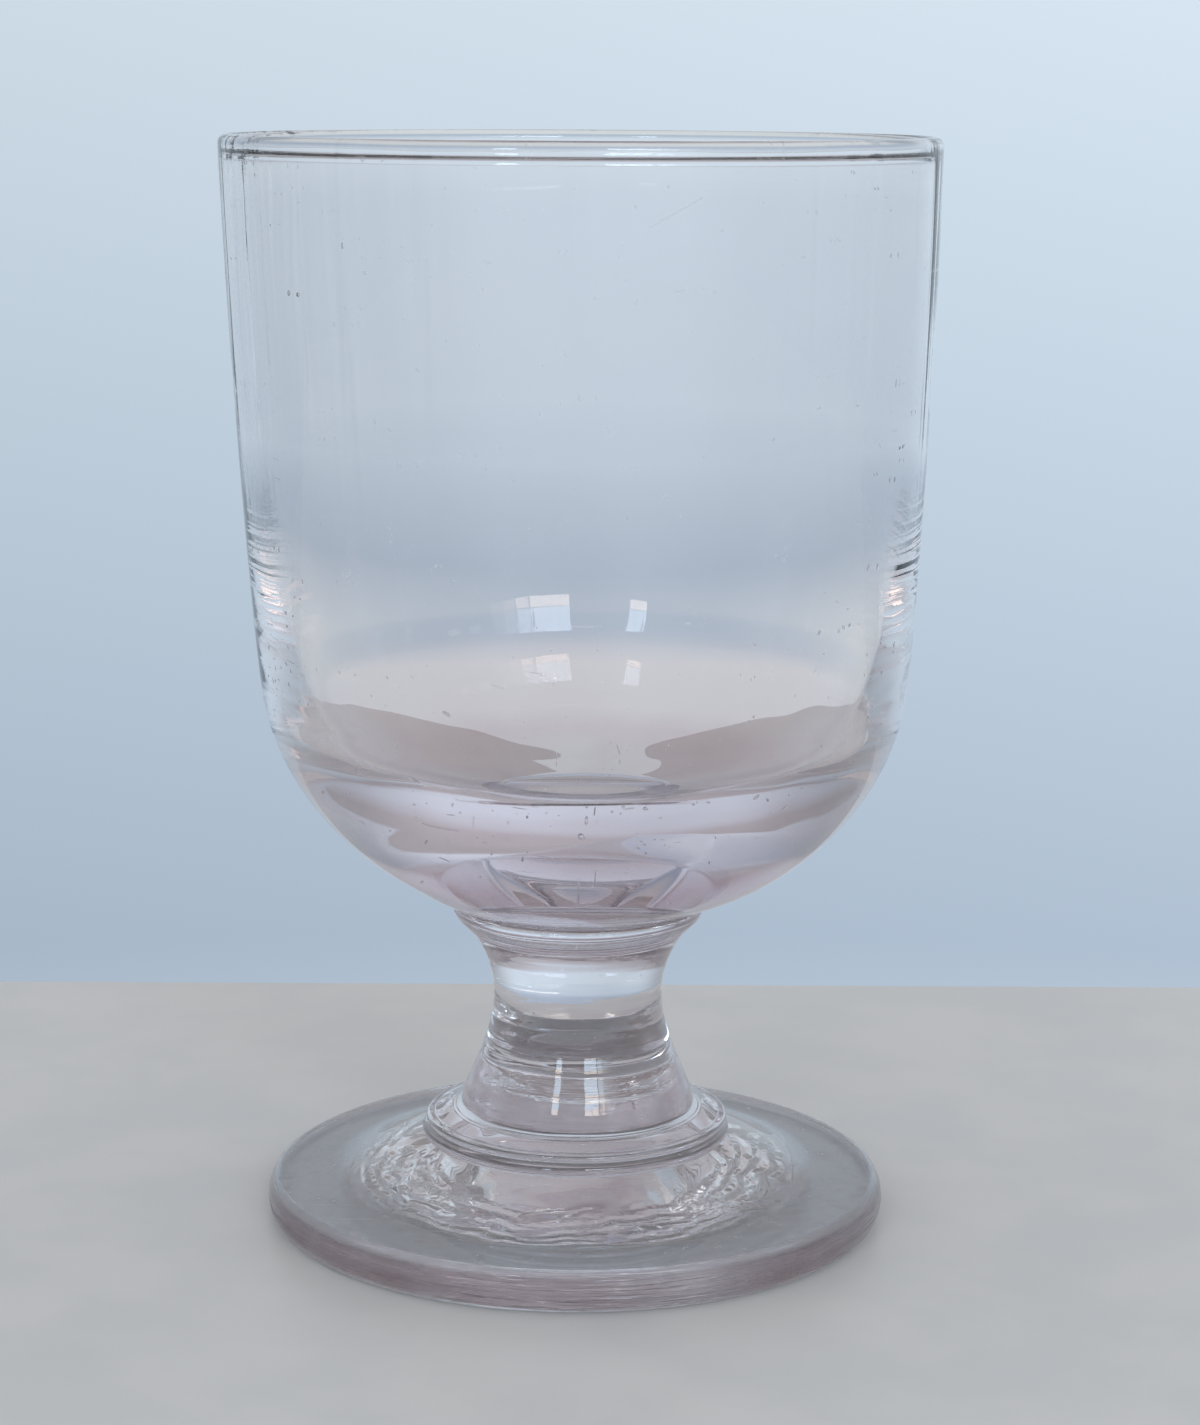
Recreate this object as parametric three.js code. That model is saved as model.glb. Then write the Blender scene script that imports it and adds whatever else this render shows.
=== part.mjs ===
// A heavy blown glass rummer: a deep round-bottomed bowl on a short waisted stem and a wide domed foot.
// The glass was made from five gathers of hot glass, each worked round and then fused to the next one.
// They stack on one axis and meet face to face on flat round welds, from the foot up to the bowl.
// Units are millimetres, +Z is up, and the origin is the middle of the foot on the table.

import * as THREE from 'three';

// Foot: a round plate with a rounded edge, and a low dome in the middle that carries the rest
const footRadius = 44.9;
const plateThickness = 6.0;
const plateEdgeRound = 2.0;
const plateFall = 0.1;
const domeRadius = 36.0;
const domeHeight = 11.4;
const hollowRadius = 30.0;
const hollowDepth = 1.5;

// Step ring: two worn beads round its side and a sloping shoulder up to the stem
const ringSeatRadius = 21.2;
const ringHeight = 5.0;
const lowerBeadRadius = 0.95;
const upperBeadRadius = 0.7;
const lowerBeadOverhang = 1.15;
const upperBeadOverhang = 0.7;
const ringLipHeight = 0.5;
const ringLipReach = 0.35;

// Stem: solid glass, drawn in to a waist
const stemBaseRadius = 16.9;
const waistRadius = 12.15;
const stemTopRadius = 15.0;
const waistHeight = 15.8;
const stemHeight = 25.1;

// Collar: a thin disc of glass with a rounded edge, between the stem and the bowl
const collarRadius = 18.1;
const collarHeight = 4.5;
const collarEdgeHeight = 3.9;
const collarEdgeRound = 0.6;

// Bowl: egg-shaped below its shoulder, flaring a little above it, with a rounded rim
const bowlSeatRadius = 17.1;
const bowlHeight = 109.0;
const shoulderRadius = 46.1;
const shoulderHeight = 36.0;
const rimRadius = 49.9;
const rimThickness = 2.5;
const rimDepth = 3.2;
const wallBelowRim = 1.45;
const wallAtThinnest = 1.15;
const baseThickness = 11.0;
const cavityFlatRadius = 12.7;
const cavityCornerRadius = 39.6;
const cavityCornerHeight = 26.8;

// How the curves run: shares of the length of the curve that they belong to
const stemFlareLean = 0.17;
const stemFlareReach = 0.26;
const lowerWaistReach = 0.36;
const upperWaistReach = 0.37;
const collarFlareLean = 0.63;
const collarFlareReach = 0.31;
const collarSkirtLean = 0.3;
const collarSkirtReach = 0.33;
const domeCrownLean = 0.426;
const domeCrownReach = 0.226;
const domeSkirtLean = 0.304;
const domeSkirtReach = 0.028;
const wallShoulderReach = 0.055;
const wallRimReach = 0.42;
const wallRimLean = 0.022;
const thinnestPlace = 0.62;
const cavityWallReach = 0.294;
const cavityCornerLean = 0.519;
const aboveCornerReach = 0.144;
const belowCornerReach = 0.341;
const cavityFloorSlope = 0.315;
const cavityFloorReach = 0.584;
const ellipseJoin = 6.0;

// Where the ring's beads meet what is below and between them, in quarter turns from straight out
const lowerBeadTurn = 0.6;
const upperBeadTurn = 0.5;

// Numbers of straight steps that stand for a full turn and for each curve
const turnSteps = 64;
const footEdgeSteps = 8;
const domeSteps = 7;
const hollowSteps = 4;
const beadSteps = 4;
const stemSteps = 7;
const collarSteps = 5;
const collarEdgeSteps = 3;
const shoulderSteps = 9;
const wallSteps = 6;
const rimSteps = 8;
const rimUndersideSteps = 3;
const innerWallSteps = 3;
const cavityWallSteps = 6;
const cavityFloorSteps = 8;

// How the clear glass is drawn in the model
const glassRoughness = 0.05;
const glassOpacity = 0.4;

// Heights of the welds, counted up from the table
const ringBase = domeHeight;
const stemBase = ringBase + ringHeight;
const collarBase = stemBase + stemHeight;
const bowlBase = collarBase + collarHeight;

const point = (radius, height) => new THREE.Vector2(radius, height);

// Points on an ellipse arc round a centre; angles are in quarter turns, 0 outwards and 1 upwards
function arc(centre, reach, rise, from, to, steps) {
  return Array.from({ length: steps + 1 }, (_, i) => {
    const angle = (from + ((to - from) * i) / steps) * (Math.PI / 2);
    return point(centre.x + reach * Math.cos(angle), centre.y + rise * Math.sin(angle));
  });
}

function curve(start, startPull, endPull, end) {
  return new THREE.CubicBezierCurve(start, startPull, endPull, end);
}

// A gather turned round the axis from its outline, which runs up the outside from axis to axis
function turned(name, outline, colour) {
  const shape = new THREE.LatheGeometry(outline, turnSteps);
  shape.rotateX(Math.PI / 2);
  const material = new THREE.MeshStandardMaterial({
    color: colour,
    roughness: glassRoughness,
    metalness: 0,
    transparent: true,
    opacity: glassOpacity,
  });
  const mesh = new THREE.Mesh(shape, material);
  mesh.name = name;
  return mesh;
}

function foot() {
  const plateTop = point(footRadius - plateEdgeRound, plateThickness);
  const domeBase = point(domeRadius, plateThickness + plateFall);
  const domeTop = point(ringSeatRadius, domeHeight);
  const run = domeBase.x - domeTop.x;
  const fall = domeTop.y - domeBase.y;
  const dome = curve(
    domeBase,
    point(domeBase.x - run * domeSkirtLean, domeBase.y + fall * domeSkirtReach),
    point(domeTop.x + run * domeCrownLean, domeTop.y - fall * domeCrownReach),
    domeTop,
  );
  const hollow = Array.from({ length: hollowSteps + 1 }, (_, i) => {
    const share = i / hollowSteps;
    return point(hollowRadius * share, hollowDepth * (1 - share * share));
  });
  const edgeMiddle = point(plateTop.x, plateThickness / 2);
  const edge = arc(edgeMiddle, plateEdgeRound, plateThickness / 2, -1, 1, footEdgeSteps);
  return turned('foot', [...hollow, ...edge, ...dome.getPoints(domeSteps), point(0, domeHeight)], 0xd9d6dc);
}

function stepRing() {
  const lowerBead = point(ringSeatRadius + lowerBeadOverhang - lowerBeadRadius, ringBase + lowerBeadRadius);
  const upperBeadHeight = lowerBead.y + lowerBeadRadius + upperBeadRadius;
  const upperBead = point(ringSeatRadius + upperBeadOverhang - upperBeadRadius, upperBeadHeight);
  const lip = point(stemBaseRadius + ringLipReach, stemBase - ringLipHeight);
  return turned('step_ring', [
    point(0, ringBase),
    point(ringSeatRadius, ringBase),
    ...arc(lowerBead, lowerBeadRadius, lowerBeadRadius, -lowerBeadTurn, lowerBeadTurn, beadSteps),
    ...arc(upperBead, upperBeadRadius, upperBeadRadius, -upperBeadTurn, 1, beadSteps),
    lip,
    point(stemBaseRadius, stemBase),
    point(0, stemBase),
  ], 0xd2ccd2);
}

function stem() {
  const base = point(stemBaseRadius, stemBase);
  const waist = point(waistRadius, stemBase + waistHeight);
  const top = point(stemTopRadius, collarBase);
  const upperHeight = top.y - waist.y;
  const lower = curve(
    base,
    point(base.x - (base.x - waist.x) * stemFlareLean, base.y + waistHeight * stemFlareReach),
    point(waist.x, waist.y - waistHeight * lowerWaistReach),
    waist,
  );
  const upper = curve(
    waist,
    point(waist.x, waist.y + upperHeight * upperWaistReach),
    point(top.x - (top.x - waist.x) * collarFlareLean, top.y - upperHeight * collarFlareReach),
    top,
  );
  return turned('stem', [
    point(0, stemBase),
    ...lower.getPoints(stemSteps),
    ...upper.getPoints(stemSteps).slice(1),
    point(0, collarBase),
  ], 0xcfc9cf);
}

function collar() {
  const underside = point(stemTopRadius, collarBase);
  const edge = point(collarRadius, collarBase + collarEdgeHeight);
  const reach = edge.x - underside.x;
  const skirt = curve(
    underside,
    point(underside.x + reach * collarSkirtLean, underside.y + collarEdgeHeight * collarSkirtReach),
    point(edge.x, edge.y - collarEdgeHeight * collarSkirtReach),
    edge,
  );
  const corner = point(collarRadius - collarEdgeRound, edge.y);
  const cornerRise = bowlBase - edge.y;
  return turned('collar', [
    point(0, collarBase),
    ...skirt.getPoints(collarSteps),
    ...arc(corner, collarEdgeRound, cornerRise, 0, 1, collarEdgeSteps).slice(1),
    point(0, bowlBase),
  ], 0xd6cfd4);
}

function bowl() {
  // The lower part is an ellipse that passes through the rim of the weld
  const centre = point(0, bowlBase + shoulderHeight);
  const depth = shoulderHeight / Math.sqrt(1 - (bowlSeatRadius / shoulderRadius) ** 2);
  const weldTurn = -Math.acos(bowlSeatRadius / shoulderRadius) / (Math.PI / 2);
  const joinTurn = -Math.asin(ellipseJoin / depth) / (Math.PI / 2);
  const lower = arc(centre, shoulderRadius, depth, weldTurn, joinTurn, shoulderSteps);

  // The wall leaves the ellipse along its slope and reaches the rim almost upright
  const join = lower[lower.length - 1];
  const slope = (shoulderRadius ** 2 * ellipseJoin) / (depth ** 2 * join.x);
  const rimHeight = bowlBase + bowlHeight;
  const rimRound = rimThickness / 2;
  const wallTop = point(rimRadius, rimHeight - rimRound);
  const wallLength = wallTop.y - join.y;
  const pull = wallLength * wallShoulderReach;
  const rimPull = wallLength * wallRimReach;
  const wall = curve(
    join,
    point(join.x + slope * pull, join.y + pull),
    point(wallTop.x - wallRimLean * rimPull, wallTop.y - rimPull),
    wallTop,
  );

  // The rim is a round bead that stands a little inside the wall
  const bead = arc(point(rimRadius - rimRound, wallTop.y), rimRound, rimRound, 0, 2, rimSteps);
  const beadInside = bead[bead.length - 1];
  const wallInside = point(rimRadius - wallBelowRim, wallTop.y - rimDepth);
  const underBead = curve(
    beadInside,
    point(beadInside.x, beadInside.y - rimDepth / 2),
    point(wallInside.x, wallInside.y + rimDepth / 2),
    wallInside,
  );

  // The inside follows the wall down to its thinnest place, turns at a corner and slopes to a small flat floor
  const wallShare = 1 - rimDepth / wallLength;
  const innerWall = Array.from({ length: innerWallSteps + 1 }, (_, i) => {
    const down = i / innerWallSteps;
    const outside = wall.getPoint(wallShare + (thinnestPlace - wallShare) * down);
    const thickness = wallBelowRim + (wallAtThinnest - wallBelowRim) * down;
    return point(outside.x - thickness, outside.y);
  });
  const thinnest = innerWall[innerWall.length - 1];
  const corner = point(cavityCornerRadius, bowlBase + cavityCornerHeight);
  const flatEdge = point(cavityFlatRadius, bowlBase + baseThickness);
  const wallDrop = thinnest.y - corner.y;
  const abovePull = wallDrop * aboveCornerReach;
  const belowPull = (corner.y - flatEdge.y) * belowCornerReach;
  const floorPull = (corner.x - flatEdge.x) * cavityFloorReach;
  const cavityWall = curve(
    thinnest,
    point(thinnest.x, thinnest.y - wallDrop * cavityWallReach),
    point(corner.x + abovePull * cavityCornerLean, corner.y + abovePull),
    corner,
  );
  const cavityFloor = curve(
    corner,
    point(corner.x - belowPull * cavityCornerLean, corner.y - belowPull),
    point(flatEdge.x + floorPull, flatEdge.y + floorPull * cavityFloorSlope),
    flatEdge,
  );

  return turned('bowl', [
    point(0, bowlBase),
    ...lower,
    ...wall.getPoints(wallSteps).slice(1),
    ...bead.slice(1),
    ...underBead.getPoints(rimUndersideSteps).slice(1, -1),
    ...innerWall,
    ...cavityWall.getPoints(cavityWallSteps).slice(1),
    ...cavityFloor.getPoints(cavityFloorSteps).slice(1),
    point(0, flatEdge.y),
  ], 0xe3e2e8);
}

const rummer = new THREE.Group();
rummer.add(foot(), stepRing(), stem(), collar(), bowl());

export default rummer;
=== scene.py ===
# A blown glass rummer on a pale floor: the five gathers of the frame, turned finely in clear glass with a
# faint amethyst tint. Outlines are in millimetres up the axis, as in the frame, and meshes are in metres.
import math
import random

import bpy
from mathutils import Matrix, Vector, noise

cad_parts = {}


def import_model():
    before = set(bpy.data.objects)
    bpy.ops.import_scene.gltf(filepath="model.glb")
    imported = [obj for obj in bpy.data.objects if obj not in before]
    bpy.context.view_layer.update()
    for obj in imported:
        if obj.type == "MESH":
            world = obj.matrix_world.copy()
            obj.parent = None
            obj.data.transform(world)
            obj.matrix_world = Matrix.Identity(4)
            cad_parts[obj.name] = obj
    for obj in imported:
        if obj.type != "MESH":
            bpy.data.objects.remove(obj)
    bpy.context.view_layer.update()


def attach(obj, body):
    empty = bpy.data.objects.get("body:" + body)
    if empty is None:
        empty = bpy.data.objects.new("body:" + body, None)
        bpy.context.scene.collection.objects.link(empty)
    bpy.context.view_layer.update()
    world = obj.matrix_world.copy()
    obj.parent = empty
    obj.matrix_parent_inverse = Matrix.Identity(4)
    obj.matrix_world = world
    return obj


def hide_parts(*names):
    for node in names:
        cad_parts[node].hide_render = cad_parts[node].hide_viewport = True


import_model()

MM = 0.001
TURN = 240  # corners in each ring of a turned piece
chance = random.Random(1820)

# Heights of the welds
RING_BASE = 11.4
STEM_BASE = 16.4
COLLAR_BASE = 41.5
BOWL_BASE = 46.0
RIM_TOP = 155.0

# Radii of the welds
RING_SEAT = 21.2
STEM_SEAT = 16.9
COLLAR_SEAT = 15.0
BOWL_SEAT = 17.1

# The foot: a hollow underside, a round edge, a flat plate and a dome
HOLLOW_RADIUS = 30.0
HOLLOW_DEPTH = 1.5
HOLLOW_STEPS = 72
EDGE_RADIUS = 42.9
EDGE_REACH = 2.0
EDGE_RISE = 3.0
PLATE_RISE = 0.1
DOME_RADIUS = 36.0
SWIRL_PITCH = 2.6

# The bowl: an ellipse up to the shoulder, a wall up to the bead of the rim, and the space inside
SHOULDER_RADIUS = 46.1
SHOULDER_HEIGHT = 82.0
SHOULDER_DEPTH = 36.0
WALL_START = 6.0
RIM_RADIUS = 49.9
RIM_BEAD = 1.25
INNER_RIM = (48.45, 151.8)
WALL_BELOW_RIM = 1.45
WALL_THINNING = 0.3
CAVITY_CORNER = (39.6, 72.8)
CAVITY_FLAT = (12.9, 57.1)
BUTTON = (11.8, 56.45)

# How far the hand of the maker set the bowl and the stem off the axis
BOWL_LEAN = 1.35
STEM_LEAN = 0.25


def smooth(low, high, value):
    share = min(1.0, max(0.0, (value - low) / (high - low)))
    return share * share * (3 - 2 * share)


# Outlines

def arc(centre, reach, rise, start, end, steps):
    """Points on an ellipse; angles are in degrees, 0 outwards and 90 upwards."""
    points = []
    for step in range(steps + 1):
        angle = math.radians(start + (end - start) * step / steps)
        points.append((centre[0] + reach * math.cos(angle), centre[1] + rise * math.sin(angle)))
    return points


def bezier(first, pull_one, pull_two, last, steps):
    points = []
    for step in range(steps + 1):
        t = step / steps
        u = 1 - t
        points.append(tuple(
            u ** 3 * a + 3 * u * u * t * b + 3 * u * t * t * c + t ** 3 * d
            for a, b, c, d in zip(first, pull_one, pull_two, last)
        ))
    return points


def foot_outline():
    top, steps = 2 * EDGE_RISE, 12
    plate = EDGE_RADIUS - DOME_RADIUS
    hollow = []
    for step in range(HOLLOW_STEPS + 1):
        share = step / HOLLOW_STEPS
        hollow.append((HOLLOW_RADIUS * step / HOLLOW_STEPS, HOLLOW_DEPTH * (1 - share ** 2)))
    edge = arc((EDGE_RADIUS, EDGE_RISE), EDGE_REACH, EDGE_RISE, -90, 90, 60)
    flat = [(EDGE_RADIUS - plate * step / steps, top + PLATE_RISE * step / steps) for step in range(1, steps)]
    dome = bezier((DOME_RADIUS, top + PLATE_RISE), (31.5, 6.25), (27.5, 10.2), (RING_SEAT, RING_BASE), 48)
    return hollow + edge + flat + dome


def ring_outline():
    lower_bead, upper_bead = 0.95, 0.7
    lower = arc((21.4, RING_BASE + lower_bead), lower_bead, lower_bead, -54, 54, 12)
    upper = arc((RING_SEAT, RING_BASE + 2.6), upper_bead, upper_bead, -45, 90, 12)
    shoulder = bezier((RING_SEAT, 14.7), (20.0, 14.9), (18.2, 15.3), (17.25, 15.9), 72)
    lines = grooved(shoulder[1:-1], (0.35, 3.2, 3.7), 0.07, 0.12)
    return [(RING_SEAT, RING_BASE)] + lower + upper + lines + shoulder[-1:] + [(STEM_SEAT, STEM_BASE)]


def stem_outline():
    waist = (12.15, 32.2)
    lower = bezier((STEM_SEAT, STEM_BASE), (16.09, 20.51), (waist[0], 26.51), waist, 48)
    upper = bezier(waist, (waist[0], 35.64), (13.2, 38.62), (COLLAR_SEAT, COLLAR_BASE), 36)
    return lower + upper[1:]


def collar_outline():
    skirt = bezier((COLLAR_SEAT, COLLAR_BASE), (15.93, 42.8), (18.1, 44.1), (18.1, 45.4), 48)
    lip = 0.6
    corner = arc((17.5, 45.4), lip, lip, 0, 90, 10)
    lines = grooved(skirt[1:], (0.55, 1.25, 1.9), 0.10, 0.16)
    return skirt[:1] + lines + corner[1:] + [(BOWL_SEAT, BOWL_BASE)]


def grooved(points, places, depth, width):
    """The same run with fine grooves cut square to it, at these distances along it."""
    made, gone = [], 0.0
    for place, point in enumerate(points):
        before, after = points[max(place - 1, 0)], points[min(place + 1, len(points) - 1)]
        run = math.dist(before, after)
        gone += math.dist(before, point)
        cut = depth * sum(math.exp(-((gone - groove) / width) ** 2) for groove in places)
        inwards = -cut * (after[1] - before[1]) / run
        made.append((point[0] + inwards, point[1] + cut * (after[0] - before[0]) / run))
    return made


def bowl_outside():
    depth = SHOULDER_DEPTH / math.sqrt(1 - (BOWL_SEAT / SHOULDER_RADIUS) ** 2)
    weld = -math.degrees(math.acos(BOWL_SEAT / SHOULDER_RADIUS))
    join = -math.degrees(math.asin(WALL_START / depth))
    lower = arc((0.0, SHOULDER_HEIGHT), SHOULDER_RADIUS, depth, weld, join, 48)
    start = lower[-1]
    slope = (SHOULDER_RADIUS ** 2 * WALL_START) / (depth ** 2 * start[0])
    top = (RIM_RADIUS, RIM_TOP - RIM_BEAD)
    length = top[1] - start[1]
    pull, rim_pull = length * 0.055, length * 0.42
    wall = bezier(start, (start[0] + slope * pull, start[1] + pull),
                  (top[0] - 0.022 * rim_pull, top[1] - rim_pull), top, 60)
    return lower, wall


def along(points, share):
    place = share * (len(points) - 1)
    low = min(int(place), len(points) - 2)
    part = place - low
    return tuple(a + (b - a) * part for a, b in zip(points[low], points[low + 1]))


def bowl_outline():
    """The outside, the rim bead and the inside; the last value is the ring where the inside starts."""
    lower, wall = bowl_outside()
    bead = arc((RIM_RADIUS - RIM_BEAD, RIM_TOP - RIM_BEAD), RIM_BEAD, RIM_BEAD, 0, 180, 28)
    top, end = bead[-1], INNER_RIM
    under = bezier(top, (top[0], top[1] - 1.6), (end[0], end[1] + 1.6), end, 10)
    inner, steps = [], 12
    for step in range(1, steps + 1):
        point = along(wall, 0.955 - 0.335 * step / steps)
        inner.append((point[0] - (WALL_BELOW_RIM - WALL_THINNING * step / steps), point[1]))
    thinnest, corner = inner[-1], CAVITY_CORNER
    above = (corner[0] + 3.18, corner[1] + 6.12)
    side = bezier(thinnest, (thinnest[0], thinnest[1] - 12.55), above, corner, 48)
    slope = bezier(corner, (corner[0] - 2.79, corner[1] - 5.38), (28.4, 61.95), CAVITY_FLAT, 56)
    soft = bezier(CAVITY_FLAT, (12.5, 56.95), (12.5, 56.5), BUTTON, 12)
    button, steps = [], 14
    for step in range(1, steps + 1):
        left = 1 - step / steps
        button.append((BUTTON[0] * left, BUTTON[1] - 0.1 * (1 - left ** 2)))
    outside = lower + wall[1:] + bead[1:]
    return outside + under[1:] + inner + side[1:] + slope[1:] + soft[1:] + button, len(outside)


# The unevenness of work done by hand and eye: each function moves a point of a piece a little

def grain(x, y, z):
    return noise.noise(Vector((x, y, z)))


def round_grain(angle, rate, height, seed):
    """Smooth noise that closes on itself round the axis."""
    return grain(rate * math.cos(angle), rate * math.sin(angle), height + seed)


def bowl_sway(inside_from):
    def sway(radius, height, angle, ring):
        free = smooth(BOWL_BASE, BOWL_BASE + 10, height) * radius / 48
        broad = 0.09 * math.cos(2 * angle + 0.6) + 0.05 * math.cos(3 * angle + 2.1)
        if ring < inside_from:
            fine = 0.03 * round_grain(angle, 3.5, height * 0.03, 3.0)
        else:
            fine = 0.06 * round_grain(angle, 5.0, height * 0.015, 9.0)
            fine += 0.05 * round_grain(angle, 2.0, height * 0.10, 15.0)
        lift = 0.12 * smooth(149, 154, height) * math.cos(angle - 0.8)
        return radius + free * (broad + fine), height + lift
    return sway


def stem_sway(radius, height, angle, ring):
    free = smooth(STEM_BASE, STEM_BASE + 2, height) * smooth(COLLAR_BASE, COLLAR_BASE - 2, height)
    cords = 0.035 * math.sin(height * 2.1 + 0.7 * math.sin(angle + 1.0))
    cords *= 0.6 + round_grain(angle, 1.2, height * 0.4, 5.0)
    return radius + free * (cords + 0.12 * round_grain(angle, 1.0, height * 0.15, 21.0)), height


def ring_sway(radius, height, angle, ring):
    free = smooth(RING_BASE, RING_BASE + 0.6, height) * smooth(STEM_BASE, STEM_BASE - 0.6, height)
    broad = 0.10 * round_grain(angle, 2.0, height * 0.5, 31.0)
    return radius + free * broad, height + free * 0.08 * math.cos(angle + 1.9)


def collar_sway(radius, height, angle, ring):
    free = smooth(COLLAR_BASE, COLLAR_BASE + 1, height) * smooth(BOWL_BASE, BOWL_BASE - 0.4, height)
    broad = free * 0.12 * round_grain(angle, 1.5, height * 0.3, 41.0)
    return radius + broad, height + free * 0.10 * math.cos(angle - 0.4)


def foot_sway(radius, height, angle, ring):
    if ring <= HOLLOW_STEPS:
        free = smooth(HOLLOW_RADIUS, 27, radius) * smooth(15, 20, radius)
        swirl = angle + radius * 0.05
        broken = 0.16 * round_grain(swirl, radius * 0.16, radius * 0.25, 51.0)
        broken += 0.05 * round_grain(swirl, radius * 0.3, radius * 0.9, 55.0)
        drift = 14 * round_grain(angle, radius * 0.06, 0.0, 71.0)
        patches = smooth(-0.2, 0.3, round_grain(angle, radius * 0.11, 0.0, 75.0))
        broken += 0.06 * math.sin(2 * math.pi * radius / SWIRL_PITCH + drift) * patches
        scar = -0.25 * math.exp(-((radius - 11 - 1.5 * math.sin(angle * 2 + 1)) / 1.6) ** 2)
        scar *= 0.6 + 0.8 * round_grain(angle, 3.0, 0.0, 58.0)
        return radius, height + free * broken + scar
    edge = smooth(EDGE_RADIUS, 44.4, radius)
    lines = 0.035 * math.sin(height * 9 + 1.5 * round_grain(angle, 2.0, 0.0, 61.0))
    lines *= round_grain(angle, 3.0, height * 0.5, 64.0)
    broad = 0.12 * smooth(24, 44, radius) * math.cos(2 * angle + 2.4) * smooth(0.0, 1.0, height)
    wave = 0.10 * smooth(30, 42, radius) * round_grain(angle, 1.6, 0.0, 67.0) * smooth(3.0, 6.0, height)
    return radius + broad + edge * lines * 3, height + wave


# Meshes

def lean(height):
    """How far the hand of the maker set each height off the axis, towards +X."""
    bowl = BOWL_LEAN * (RIM_TOP - height) / (RIM_TOP - BOWL_BASE)
    stem = STEM_LEAN * smooth(RING_BASE, STEM_BASE, height)
    return stem + (bowl - stem) * smooth(BOWL_BASE, BOWL_BASE + 5, height)


def turned(name, node, outline, welds, look, sway, bubbles=()):
    """A closed solid turned from its outline, with a disc of the second material on each weld."""
    vertices, faces, kinds = [], [], []
    low, high = outline[0][1], outline[-1][1]
    rings = [point for point in outline if point[0] > 1e-6]
    offset = len(outline) - len(rings) - (1 if outline[-1][0] <= 1e-6 else 0)
    for ring, (radius, height) in enumerate(rings):
        for step in range(TURN):
            angle = 2 * math.pi * step / TURN
            r, z = sway(radius, height, angle, ring + offset)
            vertices.append(((r * math.cos(angle) + lean(z)) * MM, r * math.sin(angle) * MM, z * MM))
    for ring in range(len(rings) - 1):
        for step in range(TURN):
            after = (step + 1) % TURN
            a, b = ring * TURN, (ring + 1) * TURN
            faces.append((a + step, a + after, b + after, b + step))
            kinds.append(0)
    for height, first, up in ((low, 0, False), (high, (len(rings) - 1) * TURN, True)):
        centre = len(vertices)
        vertices.append((lean(height) * MM, 0.0, height * MM))
        for step in range(TURN):
            after = (step + 1) % TURN
            one, two = first + step, first + after
            faces.append((one, two, centre) if up else (two, one, centre))
            kinds.append(1 if height in welds else 0)
    for bubble in bubbles:
        add_bubble(vertices, faces, kinds, *bubble)
    mesh = bpy.data.meshes.new(name)
    mesh.from_pydata(vertices, [], faces)
    mesh.materials.append(look)
    mesh.materials.append(weld_material())
    for face, kind in zip(mesh.polygons, kinds):
        face.material_index = kind
        face.use_smooth = True
    mesh.set_sharp_from_angle(angle=math.radians(40))
    mesh.update()
    piece = bpy.data.objects.new(name, mesh)
    bpy.context.collection.objects.link(piece)
    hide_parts(node)
    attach(piece, "root")


def add_bubble(vertices, faces, kinds, place, across, tall):
    """A bubble closed in the glass: its faces look into it, out of the glass."""
    first = len(vertices)
    across, tall = across * MM / 2, tall * MM / 2
    x, y, z = (part * MM for part in place)
    rows, columns = 5, 8
    vertices.append((x, y, z + tall))
    for row in range(1, rows):
        turn = math.pi * row / rows
        for column in range(columns):
            angle = 2 * math.pi * column / columns
            ring, level = across * math.sin(turn), z + tall * math.cos(turn)
            vertices.append((x + ring * math.cos(angle), y + ring * math.sin(angle), level))
    vertices.append((x, y, z - tall))
    last = len(vertices) - 1
    for column in range(columns):
        after = (column + 1) % columns
        faces.append((first, first + 1 + after, first + 1 + column))
        end = first + 1 + (rows - 2) * columns
        faces.append((last, end + column, end + after))
        for row in range(rows - 2):
            a = first + 1 + row * columns
            b = a + columns
            faces.append((a + column, a + after, b + after, b + column))
    kinds.extend([0] * (len(faces) - len(kinds)))


def on_axis(azimuth, radius, height):
    """A place inside the glass, from its direction in degrees (0 towards +X, -90 towards the camera)."""
    angle = math.radians(azimuth)
    return radius * math.cos(angle) + lean(height), radius * math.sin(angle), height


# Materials

class Nodes:
    """Fills a node tree: each method adds nodes and gives back the socket that the next one takes."""

    def __init__(self, tree):
        self.tree = tree

    def split(self, vector):
        node = self.tree.nodes.new("ShaderNodeSeparateXYZ")
        self.tree.links.new(vector, node.inputs[0])
        return node.outputs

    def put(self, node, name, value):
        if isinstance(value, bpy.types.NodeSocket):
            self.tree.links.new(value, node.inputs[name])
        else:
            node.inputs[name].default_value = value

    def maths(self, operation, one, two=0.0):
        node = self.tree.nodes.new("ShaderNodeMath")
        node.operation = operation
        self.put(node, 0, one)
        self.put(node, 1, two)
        return node.outputs[0]

    def spread(self, value, low, high, to_low=0.0, to_high=1.0, kind="SMOOTHSTEP"):
        node = self.tree.nodes.new("ShaderNodeMapRange")
        node.interpolation_type = kind
        for name, given in (("Value", value), ("From Min", low), ("From Max", high),
                            ("To Min", to_low), ("To Max", to_high)):
            self.put(node, name, given)
        return node.outputs["Result"]

    def ramp(self, value, stops):
        node = self.tree.nodes.new("ShaderNodeValToRGB")
        self.tree.links.new(value, node.inputs["Fac"])
        marks = node.color_ramp.elements
        while len(marks) < len(stops):
            marks.new(0.5)
        for mark, (position, colour) in zip(marks, stops):
            mark.position = position
            mark.color = (*colour, 1)
        return node.outputs["Color"]

    def tinted(self, share, colour, other):
        node = self.tree.nodes.new("ShaderNodeMix")
        node.data_type = "RGBA"
        self.put(node, 0, share)
        self.put(node, 6, colour)
        self.put(node, 7, other)
        return node.outputs[2]


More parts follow.
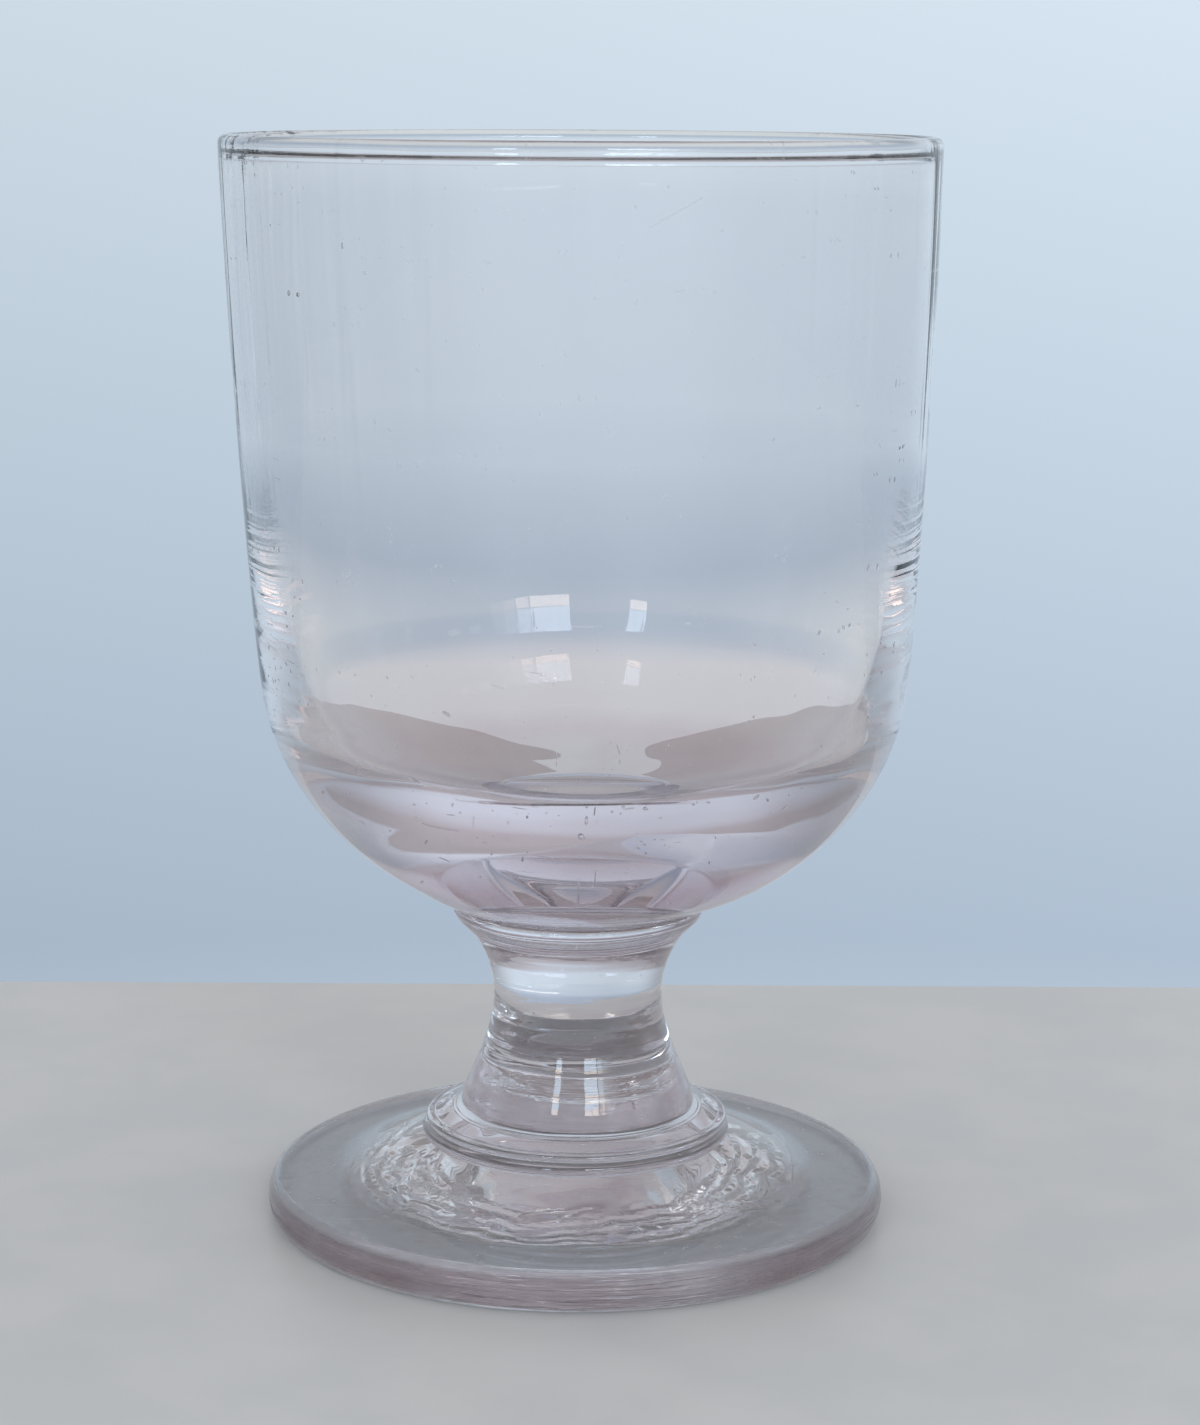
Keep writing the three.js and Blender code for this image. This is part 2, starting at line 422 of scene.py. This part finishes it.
class Look(Nodes):
    """One material of the glass or the floor, with the place on its piece."""

    def __init__(self, name):
        self.material = bpy.data.materials.new(name)
        self.material.use_nodes = True
        super().__init__(self.material.node_tree)
        self.shader = self.tree.nodes["Principled BSDF"]
        self.place = self.tree.nodes.new("ShaderNodeTexCoord").outputs["Object"]
        self.x, self.y, self.z = self.split(self.place)

    def reach(self, slant=0.0, top=0.0):
        """The distance from the axis, which slants by this share below a height in millimetres."""
        x = self.x
        if slant:
            below = self.maths("SUBTRACT", top * MM, self.z)
            x = self.maths("SUBTRACT", x, self.maths("MULTIPLY", below, slant))
        squares = self.maths("ADD", self.maths("POWER", self.maths("ABSOLUTE", x), 2.0),
                             self.maths("POWER", self.maths("ABSOLUTE", self.y), 2.0))
        return self.maths("SQRT", squares)

    def vector(self, operation, one, two=(0, 0, 0), scale=None):
        node = self.tree.nodes.new("ShaderNodeVectorMath")
        node.operation = operation
        self.put(node, 0, one)
        self.put(node, 1, two)
        if scale is not None:
            self.put(node, "Scale", scale)
        return node.outputs["Value" if operation in ("DOT_PRODUCT", "LENGTH") else "Vector"]

    def stroke(self, start, end, width):
        """A mask of a thin straight mark between two places; width is in millimetres."""
        run = [b - a for a, b in zip(start, end)]
        from_start = self.vector("SUBTRACT", self.place, start)
        done = self.vector("DOT_PRODUCT", from_start, run)
        share = self.maths("DIVIDE", done, sum(part * part for part in run))
        held = self.maths("MINIMUM", self.maths("MAXIMUM", share, 0.0), 1.0)
        aside = self.vector("SUBTRACT", from_start, self.vector("SCALE", run, scale=held))
        return self.spread(self.vector("LENGTH", aside), width * MM, 0.4 * width * MM)

    def noise(self, scale, detail=2.0, stretch=(1, 1, 1), turn=(0, 0, 0)):
        bend = self.tree.nodes.new("ShaderNodeMapping")
        bend.inputs["Rotation"].default_value = turn
        bend.inputs["Scale"].default_value = stretch
        self.tree.links.new(self.place, bend.inputs["Vector"])
        node = self.tree.nodes.new("ShaderNodeTexNoise")
        self.tree.links.new(bend.outputs[0], node.inputs["Vector"])
        node.inputs["Scale"].default_value = scale
        node.inputs["Detail"].default_value = detail
        return node.outputs["Fac"]

    def bump(self, height, distance, strength=1.0, under=None):
        node = self.tree.nodes.new("ShaderNodeBump")
        node.inputs["Strength"].default_value = strength
        node.inputs["Distance"].default_value = distance
        self.tree.links.new(height, node.inputs["Height"])
        if under is not None:
            self.tree.links.new(under, node.inputs["Normal"])
        return node.outputs["Normal"]


def clear_glass(look, shade, surface, worn=None, worn_roughness=0.2, marks=None):
    """Joins up the shader of a piece of glass and gives it the fine scratches that all of it has.

    shade is the base colour, which is the tint and on some pieces painted shade, painted glints and a painted
    reflection too; surface the relief, worn the mask of the rubbed places, and marks that of single
    scratches.
    """
    one = look.noise(1500, 0.0, stretch=(1, 0.02, 0.6), turn=(0.3, 0.5, 0.8))
    two = look.noise(1300, 0.0, stretch=(0.02, 1, 0.5), turn=(0.9, -0.4, 0.2))
    scratches = look.maths("MAXIMUM", look.spread(one, 0.85, 0.89), look.spread(two, 0.85, 0.89))
    if marks is not None:
        scratches = look.maths("MAXIMUM", scratches, marks)
    rough = look.maths("MULTIPLY", scratches, 0.5)
    if worn is not None:
        patches = look.spread(look.noise(420, 5.0), 0.35, 0.75, 0.2, 1.0)
        rubbed = look.maths("MULTIPLY", look.maths("MULTIPLY", worn, patches), worn_roughness)
        rough = look.maths("MAXIMUM", rough, rubbed)
    look.put(look.shader, "Roughness", rough)
    look.put(look.shader, "Base Color", shade)
    look.put(look.shader, "Normal", look.bump(scratches, -0.000006, 1.0, surface))
    look.shader.inputs["IOR"].default_value = 1.5
    look.shader.inputs["Transmission Weight"].default_value = 1.0
    return look.material


def tint_and_shade_by_height(look, tint_and_shade_stops):
    """The stops are (height in millimetres, colour) pairs, from the lowest up: the tint of the glass and, on
    some pieces, painted shade.
    """
    low, high = tint_and_shade_stops[0][0], tint_and_shade_stops[-1][0]
    level = look.spread(look.z, low * MM, high * MM, kind="LINEAR")
    return look.ramp(level, [((height - low) / (high - low), colour) for height, colour in tint_and_shade_stops])


def clouded(look, shade, clear=(0.95, 0.94, 0.95, 1), share=0.3):
    """The tint drifts a little from place to place, as it does where the glass was gathered twice."""
    cloud = look.spread(look.noise(60, 3.0), 0.35, 0.7)
    return look.tinted(look.maths("MULTIPLY", cloud, share), shade, clear)


def tool_lines(look, pitch, distance, under, where=None):
    """Fine sharp lines round the axis, from the tools that shaped the piece as it turned."""
    lines = look.noise(1.0 / (pitch * MM), 3.0, stretch=(0.015, 0.015, 1))
    sharp = look.maths("ABSOLUTE", look.maths("SUBTRACT", lines, 0.5))
    if where is not None:
        sharp = look.maths("MULTIPLY", sharp, where)
    return look.bump(sharp, distance, 1.0, under)


def weld_material():
    material = bpy.data.materials.get("fused_weld")
    if material:
        return material
    material = bpy.data.materials.new("fused_weld")
    material.use_nodes = True
    nodes, links = material.node_tree.nodes, material.node_tree.links
    nodes.clear()
    clear = nodes.new("ShaderNodeBsdfTransparent")
    output = nodes.new("ShaderNodeOutputMaterial")
    links.new(clear.outputs["BSDF"], output.inputs["Surface"])
    return material


def on_wall(azimuth, height):
    """A place on the outside of the bowl, in metres."""
    lower, wall = bowl_outside()
    outside = lower + wall
    for (radius, low), (next_radius, high) in zip(outside[:-1], outside[1:]):
        if low <= height <= high:
            radius += (next_radius - radius) * (height - low) / max(high - low, 1e-9)
            return [part * MM for part in on_axis(azimuth, radius, height)]


def foot_glass():
    """Rubbed where it slides on tables, with swirls in the underside, chill lines and a band of painted shade
    on the edge, painted warm glints in the dome and a painted blue reflection on the plate and edge.
    """
    look = Look("foot_glass")
    reach = look.reach()
    edge = look.spread(reach, 43.4 * MM, 44.6 * MM)
    # The edge and the plate lean to the blue of the backdrop: a painted reflection in the colour of the
    # glass, while the dome above keeps the faint tint.
    plain = tint_and_shade_by_height(look, [
        (0, (0.90, 0.94, 0.99)), (5.5, (0.92, 0.97, 1.0)),
        (8.0, (0.96, 0.95, 0.96)), (12, (0.96, 0.95, 0.95))])
    # Cream patches inside the dome and its underside are painted warm glints, mixed into the colour of the
    # glass.
    skirt = look.spread(reach, 33 * MM, 28 * MM)
    skirt = look.maths("MULTIPLY", skirt, look.spread(look.noise(90, 3.0), 0.4, 0.6))
    plain = look.tinted(skirt, plain, (1.0, 0.95, 0.90, 1))
    # The band round the edge is painted shade: dark, with a lighter line near 4 mm, and it fades to the plain
    # colour at its lower and upper ends.
    painted_edge_shade = tint_and_shade_by_height(look, [
        (0, (0.90, 0.86, 0.88)), (0.7, (0.40, 0.29, 0.30)), (2.6, (0.26, 0.18, 0.19)),
        (4.2, (0.45, 0.34, 0.36)), (5.0, (0.30, 0.22, 0.24)), (5.7, (0.90, 0.87, 0.90))])
    shade = clouded(look, look.tinted(edge, plain, painted_edge_shade))

    # Swirls in the hollow underside
    drift = look.maths("MULTIPLY", look.noise(62, 4.0, stretch=(1, 1, 0)), 30.0)
    turns = look.maths("MULTIPLY", reach, 2 * math.pi / (SWIRL_PITCH * MM))
    swirl = look.maths("SINE", look.maths("ADD", turns, drift))
    hollow = look.spread(reach, HOLLOW_RADIUS * MM, 28 * MM)
    hollow = look.maths("MULTIPLY", look.spread(reach, 17 * MM, 21 * MM), hollow)
    under = look.maths("MULTIPLY", look.spread(look.z, 2.6 * MM, 2.2 * MM), hollow)
    broken = look.maths("MULTIPLY", look.spread(look.noise(120, 3.0), 0.35, 0.6), under)
    surface = look.bump(look.noise(45, 2.0), 0.00005)
    surface = look.bump(look.maths("MULTIPLY", swirl, broken), 0.00012, 1.0, surface)
    surface = tool_lines(look, 0.9, 0.0016, surface, edge)

    slide = look.spread(look.z, 0.6 * MM, 0.1 * MM)
    plate = look.spread(reach, HOLLOW_RADIUS * MM, 35 * MM)
    plate = look.maths("MULTIPLY", plate, look.spread(look.z, 5.4 * MM, 5.9 * MM))
    worn = look.maths("MAXIMUM", slide, look.maths("MULTIPLY", plate, 0.12))
    return clear_glass(look, shade, surface, worn, 0.3)


def ring_glass():
    look = Look("ring_glass")
    # The dark stops at both welds and between the two beads are painted shade in the creases.
    shade = clouded(look, tint_and_shade_by_height(look, [
        (11.3, (0.45, 0.37, 0.38)), (11.8, (0.84, 0.78, 0.82)), (13.0, (0.60, 0.51, 0.54)),
        (13.3, (0.86, 0.82, 0.85)), (15.8, (0.92, 0.89, 0.91)), (16.4, (0.55, 0.47, 0.48))]))
    surface = look.bump(look.noise(70, 2.0), 0.00002)
    return clear_glass(look, shade, tool_lines(look, 0.9, 0.00002, surface))


def stem_glass():
    look = Look("stem_glass")
    # The dark stop at the weld with the ring is painted shade in the crease, and the darker band near 28 mm
    # is painted shade too.
    shade = clouded(look, tint_and_shade_by_height(look, [
        (16.4, (0.50, 0.42, 0.44)), (17.1, (0.84, 0.78, 0.82)), (23, (0.90, 0.86, 0.88)),
        (28, (0.76, 0.70, 0.73)), (33, (0.92, 0.90, 0.92)), (41.5, (0.93, 0.90, 0.92))]))
    surface = look.bump(look.noise(60, 2.0), 0.00004)
    return clear_glass(look, shade, tool_lines(look, 1.8, 0.00005, surface))


def collar_glass():
    look = Look("collar_glass")
    # The dark stops in the three grooves and at the weld with the bowl are painted shade.
    shade = clouded(look, tint_and_shade_by_height(look, [
        (41.5, (0.90, 0.84, 0.84)), (41.95, (0.55, 0.44, 0.46)), (42.2, (0.92, 0.83, 0.83)),
        (42.5, (0.58, 0.47, 0.50)), (42.7, (0.90, 0.82, 0.85)), (42.95, (0.60, 0.51, 0.54)),
        (43.2, (0.90, 0.86, 0.89)), (45.6, (0.92, 0.88, 0.91)), (46.0, (0.55, 0.46, 0.49))]))
    surface = look.bump(look.noise(70, 2.0), 0.00002)
    return clear_glass(look, shade, tool_lines(look, 0.9, 0.00002, surface))


# Scratches on the wall as (azimuth, height) of both ends, with their width in millimetres
SCRATCHES = (
    ((-80.1, 144.5), (-76.8, 146.0), 0.24), ((-76.8, 146.0), (-72.5, 148.0), 0.18),
    ((-30.5, 102.0), (-26.6, 87.9), 0.10), ((-39.7, 101.0), (-39.4, 95.0), 0.12),
    ((-88.0, 59.6), (-88.1, 56.7), 0.14), ((-112.0, 118.0), (-106.0, 112.5), 0.05),
)


def bowl_glass():
    """Tinted most in the thick base, darkest and greyest at its bottom as painted shade, and clear inside,
    with soft upright streaks and a few long scratches.
    """
    look = Look("bowl_glass")

    # The share of the way out to the ellipse of the outside tells the outside from the inside
    ellipse_depth = 38.8
    upright = look.reach(BOWL_LEAN / (RIM_TOP - BOWL_BASE), RIM_TOP)
    across = look.maths("POWER", look.maths("DIVIDE", upright, SHOULDER_RADIUS * MM), 2.0)
    below = look.maths("SUBTRACT", SHOULDER_HEIGHT * MM, look.z)
    deep = look.maths("POWER", look.maths("DIVIDE", below, ellipse_depth * MM), 2.0)
    outer = look.spread(look.maths("ADD", across, deep), 0.84, 0.94)
    # The outside is tinted most where the base is thickest. The dark grey stops at 46 and 50 mm go past that
    # tint and are painted shade.
    tint_and_painted_shade = tint_and_shade_by_height(look, [
        (46, (0.42, 0.37, 0.40)), (50, (0.50, 0.42, 0.46)), (54, (0.62, 0.47, 0.52)),
        (58, (0.78, 0.67, 0.71)), (68, (0.86, 0.76, 0.80)), (74, (0.94, 0.91, 0.925)),
        (92, (0.965, 0.95, 0.955)), (125, (0.98, 0.968, 0.968)), (155, (0.975, 0.965, 0.965))])
    shade = clouded(look, look.tinted(outer, (0.985, 0.98, 0.98, 1), tint_and_painted_shade), share=0.2)

    streaks = look.maths("MULTIPLY", look.spread(look.noise(95, 3.0, stretch=(1, 1, 0.03)), 0.5, 0.75),
                         look.spread(look.z, 100 * MM, 125 * MM))
    surface = look.bump(look.noise(50, 2.0), 0.00003)
    surface = look.bump(streaks, 0.00016, 1.0, surface)
    marks = None
    for start, end, width in SCRATCHES:
        mark = look.stroke(on_wall(*start), on_wall(*end), width)
        marks = mark if marks is None else look.maths("MAXIMUM", marks, mark)
    rim = look.spread(look.z, 151.5 * MM, 153.5 * MM)
    return clear_glass(look, shade, surface, rim, 0.12, marks)


# The glass, from the foot up
foot_look, ring_look, stem_look = foot_glass(), ring_glass(), stem_glass()
collar_look, bowl_look = collar_glass(), bowl_glass()
turned("foot_piece", "foot", foot_outline(), {RING_BASE}, foot_look, foot_sway)
turned("step_ring_piece", "step_ring", ring_outline(), {RING_BASE, STEM_BASE},
       ring_look, ring_sway)
turned("stem_piece", "stem", stem_outline(), {STEM_BASE, COLLAR_BASE}, stem_look, stem_sway)
turned("collar_piece", "collar", collar_outline(), {COLLAR_BASE, BOWL_BASE},
       collar_look, collar_sway)

# Bubbles as (place, width, height): those seen in the wall and the base, then small ones in the base
bubbles = [
    (on_axis(-141.6, 48.0, 134.9), 0.45, 0.8), (on_axis(-139.2, 48.0, 134.8), 0.6, 0.65),
    (on_axis(-128.7, 48.2, 141.4), 0.25, 0.9), (on_axis(-24.6, 45.6, 86.1), 0.4, 0.5),
    (on_axis(92.0, 11.0, 55.4), 0.7, 0.7),
]
for _ in range(70):
    height = chance.uniform(49.5, 57.0)
    most = 17.0 + (height - BOWL_BASE) * 1.2
    place = on_axis(chance.uniform(0, 360), most * math.sqrt(chance.random()), height)
    size = chance.uniform(0.12, 0.3)
    bubbles.append((place, size, size * chance.uniform(1.0, 1.4)))
outline, inside_from = bowl_outline()
turned("bowl_piece", "bowl", outline, {BOWL_BASE},
       bowl_look, bowl_sway(inside_from), bubbles)


# Floor, backdrop and light

def floor():
    look = Look("pale_floor")
    mottle = look.spread(look.noise(40, 5.0), 0.35, 0.65)
    shade = look.tinted(mottle, (0.52, 0.505, 0.495, 1), (0.49, 0.48, 0.475, 1))
    look.put(look.shader, "Base Color", shade)
    look.shader.inputs["Roughness"].default_value = 0.35
    mesh = bpy.data.meshes.new("floor")
    x, front, back, z = 0.9, -1.2, 0.119, -0.00002
    mesh.from_pydata([(-x, front, z), (x, front, z), (x, back, z), (-x, back, z)], [], [(0, 1, 2, 3)])
    mesh.materials.append(look.material)
    piece = bpy.data.objects.new("floor", mesh)
    bpy.context.collection.objects.link(piece)


def world():
    """A pale blue surround that the camera and the glass see, and plain light for all else."""
    surround = bpy.data.worlds.new("backdrop")
    surround.use_nodes = True
    build = Nodes(surround.node_tree)
    nodes, links = surround.node_tree.nodes, surround.node_tree.links
    nodes.clear()
    x, _, z = build.split(nodes.new("ShaderNodeTexCoord").outputs["Generated"])
    colours = build.ramp(build.spread(z, -0.4, 0.8, kind="LINEAR"), [
        (0.0, (0.66, 0.72, 0.75)), (0.12, (0.40, 0.49, 0.60)), (0.36, (0.63, 0.73, 0.82)),
        (0.50, (0.62, 0.72, 0.82)), (0.62, (0.46, 0.46, 0.50)), (1.0, (0.38, 0.37, 0.40))])

    # The backdrop grows a little lighter from left to right
    across = build.spread(x, -0.25, 0.25, 0.95, 1.10, kind="LINEAR")

    # The sides are darker, out of view: they draw the edges of clear glass
    fall = build.spread(build.maths("ABSOLUTE", x), 0.5, 0.95, 1.0, 0.55)
    backdrop = nodes.new("ShaderNodeBackground")
    links.new(colours, backdrop.inputs["Color"])
    links.new(build.maths("MULTIPLY", across, fall), backdrop.inputs["Strength"])

    plain_light = nodes.new("ShaderNodeBackground")
    plain_light.inputs["Color"].default_value = (0.95, 0.98, 1.0, 1)
    plain_light.inputs["Strength"].default_value = 0.95
    path = nodes.new("ShaderNodeLightPath").outputs
    seen = build.maths("MAXIMUM", path["Is Camera Ray"], path["Is Glossy Ray"])
    either = build.maths("MAXIMUM", seen, path["Is Transmission Ray"])

    # Light that reaches the floor through the glass is mostly the plain light too
    bounced = build.maths("MULTIPLY", path["Diffuse Depth"], 0.7)
    direct = build.maths("MAXIMUM", build.maths("SUBTRACT", either, bounced), 0.0)
    pick = nodes.new("ShaderNodeMixShader")
    links.new(direct, pick.inputs[0])
    links.new(plain_light.outputs[0], pick.inputs[1])
    links.new(backdrop.outputs[0], pick.inputs[2])
    output = nodes.new("ShaderNodeOutputWorld")
    links.new(pick.outputs[0], output.inputs["Surface"])
    bpy.context.scene.world = surround


def fades_in_the_wall(data):
    """The lamp fades and warms for light that has bounced often, as if the glass took a little each time."""
    data.use_nodes = True
    nodes = data.node_tree.nodes
    build = Nodes(data.node_tree)
    emission = nodes["Emission"]
    depth = nodes.new("ShaderNodeLightPath").outputs["Ray Depth"]
    fade = build.spread(depth, 5.0, 12.0, 1.0, 0.15, kind="LINEAR")
    build.put(emission, "Strength", fade)
    build.put(emission, "Color", build.tinted(fade, (1.0, 0.62, 0.48, 1), (1.0, 1.0, 1.0, 1)))


def lamp(name, azimuth, elevation, width, height, radiance, colour, distance=1.2):
    """A soft rectangular lamp that faces the glass; azimuth 0 is straight behind the camera.

    width and height are in degrees, as seen from the glass.
    """
    data = bpy.data.lights.new(name, "AREA")
    data.shape = "RECTANGLE"
    data.size = 2 * distance * math.tan(math.radians(width / 2))
    data.size_y = 2 * distance * math.tan(math.radians(height / 2))
    data.energy = radiance * math.pi * data.size * data.size_y
    data.color = colour
    fades_in_the_wall(data)
    turn, rise = math.radians(azimuth), math.radians(elevation)
    aim = Vector((0, 0, 0.08))
    away = Vector((math.sin(turn) * math.cos(rise), -math.cos(turn) * math.cos(rise), math.sin(rise)))
    piece = bpy.data.objects.new(name, data)
    piece.location = aim + away * distance
    piece.rotation_euler = away.to_track_quat("Z", "Y").to_euler()
    bpy.context.collection.objects.link(piece)


def camera():
    """The camera that was fitted to the outlines; the focal length and the image height are in pixels."""
    sensor, focal_length, image_height = 36.0, 3241, 1425
    stand = (0, -0.455, 0.1613)
    data = bpy.data.cameras.new("camera")
    data.sensor_fit = "VERTICAL"
    data.sensor_height = sensor
    data.lens = sensor * focal_length / image_height
    data.clip_start = 0.01
    yaw, pitch, roll = math.radians(0.40), math.radians(10.9), math.radians(0.40)
    ahead = Vector((math.sin(yaw) * math.cos(pitch), math.cos(yaw) * math.cos(pitch), -math.sin(pitch)))
    right = Vector((math.cos(yaw), -math.sin(yaw), 0))
    up = right.cross(ahead)
    side = right * math.cos(roll) + up * math.sin(roll)
    over = up * math.cos(roll) - right * math.sin(roll)
    piece = bpy.data.objects.new("camera", data)
    turn = Matrix((side, over, -ahead)).transposed()
    piece.matrix_world = Matrix.Translation(stand) @ turn.to_4x4()
    bpy.context.collection.objects.link(piece)
    bpy.context.scene.camera = piece


floor()
world()
camera()

# Soft windows behind the camera: a narrow one, a pair and a row of three, as the azimuths of their sides
# and their radiance, each with a warm strip below the blue
SKY = (0.62, 0.82, 1.0)
HAZE = (1.0, 0.90, 0.78)
WINDOWS = (
    ("narrow", -26.8, -20.3, 9), ("pair_one", 8.0, 14.8, 9), ("pair_two", 15.4, 22.4, 9),
    ("row_one", 24.0, 29.3, 6), ("row_two", 29.9, 35.2, 2), ("row_three", 35.8, 41.0, 1),
)
for name, left, right, radiance in WINDOWS:
    lamp(name + "_sky", (left + right) / 2, 27.0, right - left, 12.0, radiance, SKY)
    lamp(name + "_haze", (left + right) / 2, 19.2, right - left, 3.0, radiance, HAZE)
lamp("small_one", 52, 26, 6, 6, 1.5, SKY)
lamp("small_two", 63, 24, 5, 5, 1.5, HAZE)

scene = bpy.context.scene
scene.view_settings.view_transform = "Standard"
scene.cycles.max_bounces = 96
scene.cycles.transmission_bounces = 96
scene.cycles.glossy_bounces = 28
scene.cycles.transparent_max_bounces = 64
